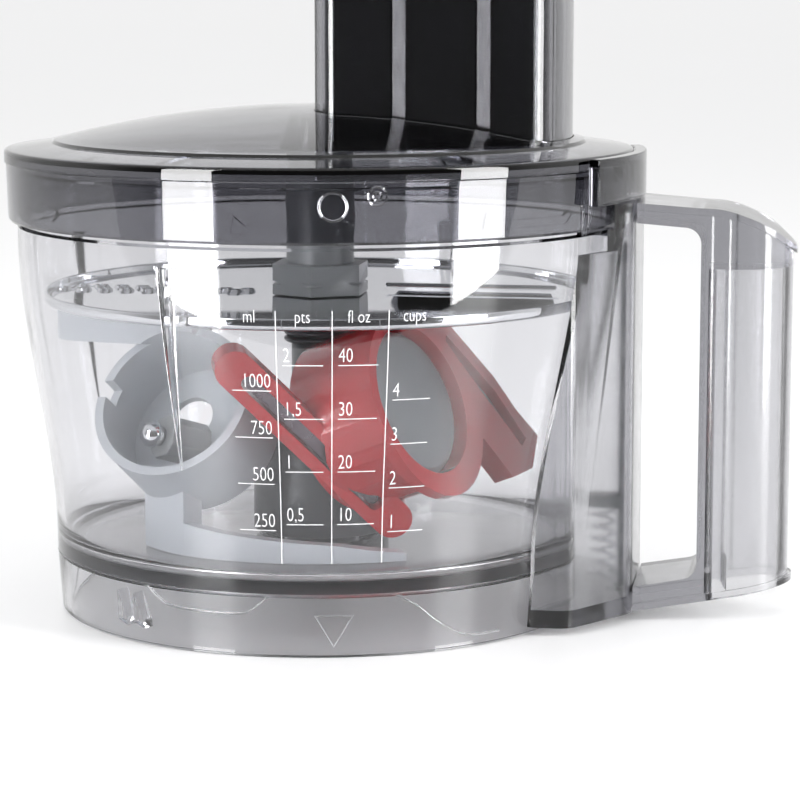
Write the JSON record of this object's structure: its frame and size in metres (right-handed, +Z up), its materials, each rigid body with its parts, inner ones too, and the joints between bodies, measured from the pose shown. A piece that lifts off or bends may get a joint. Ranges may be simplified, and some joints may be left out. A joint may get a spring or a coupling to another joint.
{
  "type": "food processor",
  "caption": "Food processor bowl with a hollow side handle, twist-on lid with feed chute and pusher, drive shaft with cutting disc, and stored kneading tool and sheathed knife.",
  "frame": {"origin": "on the bowl's axis at table level, just under the end of the drive coupling", "axes": "+Z up along the bowl's axis, +X towards the handle, +Y to the handle's left seen from above"},
  "size_m": [0.248, 0.197, 0.2356],
  "materials": {
    "clear_plastic": "clear, polished",
    "smoky_plastic": "smoky grey, see-through, polished",
    "black_plastic": "near black, see-through at the edges, polished",
    "grey_plastic": "satin",
    "dark_plastic": "satin",
    "tool_plastic": "satin",
    "guard_plastic": "gloss",
    "steel": "polished stainless"
  },
  "bodies": {
    "bowl": {"bowl": "clear_plastic", "handle_duct": "clear_plastic", "handle_grip": "clear_plastic", "interlock_spring": "steel", "kneading_tool": "tool_plastic", "kneading_post": "grey_plastic", "kneading_pin": "steel", "blade_guard": "guard_plastic", "knife_hub": "grey_plastic", "knife_blade_long": "steel", "knife_blade_short": "steel"},
    "interlock": {"interlock_slide": "grey_plastic"},
    "drive": {"drive_coupling": "dark_plastic", "drive_shaft": "dark_plastic", "shaft_ring": "dark_plastic", "axle": "steel", "disc_hub": "grey_plastic", "cutting_disc": "steel", "disc_blade": "steel"},
    "lid_bearing": {"lid_bush": "grey_plastic"},
    "lid": {"lid": "smoky_plastic", "lid_lug": "smoky_plastic", "lid_boss": "smoky_plastic", "feed_chute": "smoky_plastic"},
    "pusher": {"pusher": "black_plastic", "pusher_cap": "black_plastic"}
  },
  "joints": [
    {"name": "drive_spin", "type": "hinge", "parent": "bowl", "child": "drive", "pos_m": [0, 0, 0.05], "axis": [0, 0, 1], "continuous": true},
    {"name": "interlock_slide", "type": "slide", "parent": "bowl", "child": "interlock", "axis": [0, 0, 1], "range_m": [0, 0.005], "deforming": ["interlock_spring"]},
    {"name": "lid_lift", "type": "slide", "parent": "bowl", "child": "lid_bearing", "axis": [0, 0, 1], "range_m": [0, 0.12]},
    {"name": "lid_twist", "type": "hinge", "parent": "lid_bearing", "child": "lid", "pos_m": [0, 0, 0.148], "axis": [0, 0, 1], "range_deg": [0, 25]},
    {"name": "pusher_slide", "type": "slide", "parent": "lid", "child": "pusher", "axis": [0, 0, 1], "range_m": [0, 0.08]}
  ],
  "couplings": [
    {"joint": "interlock_slide", "follows": "lid_twist", "m_per_rad": 0.01145}
  ]
}
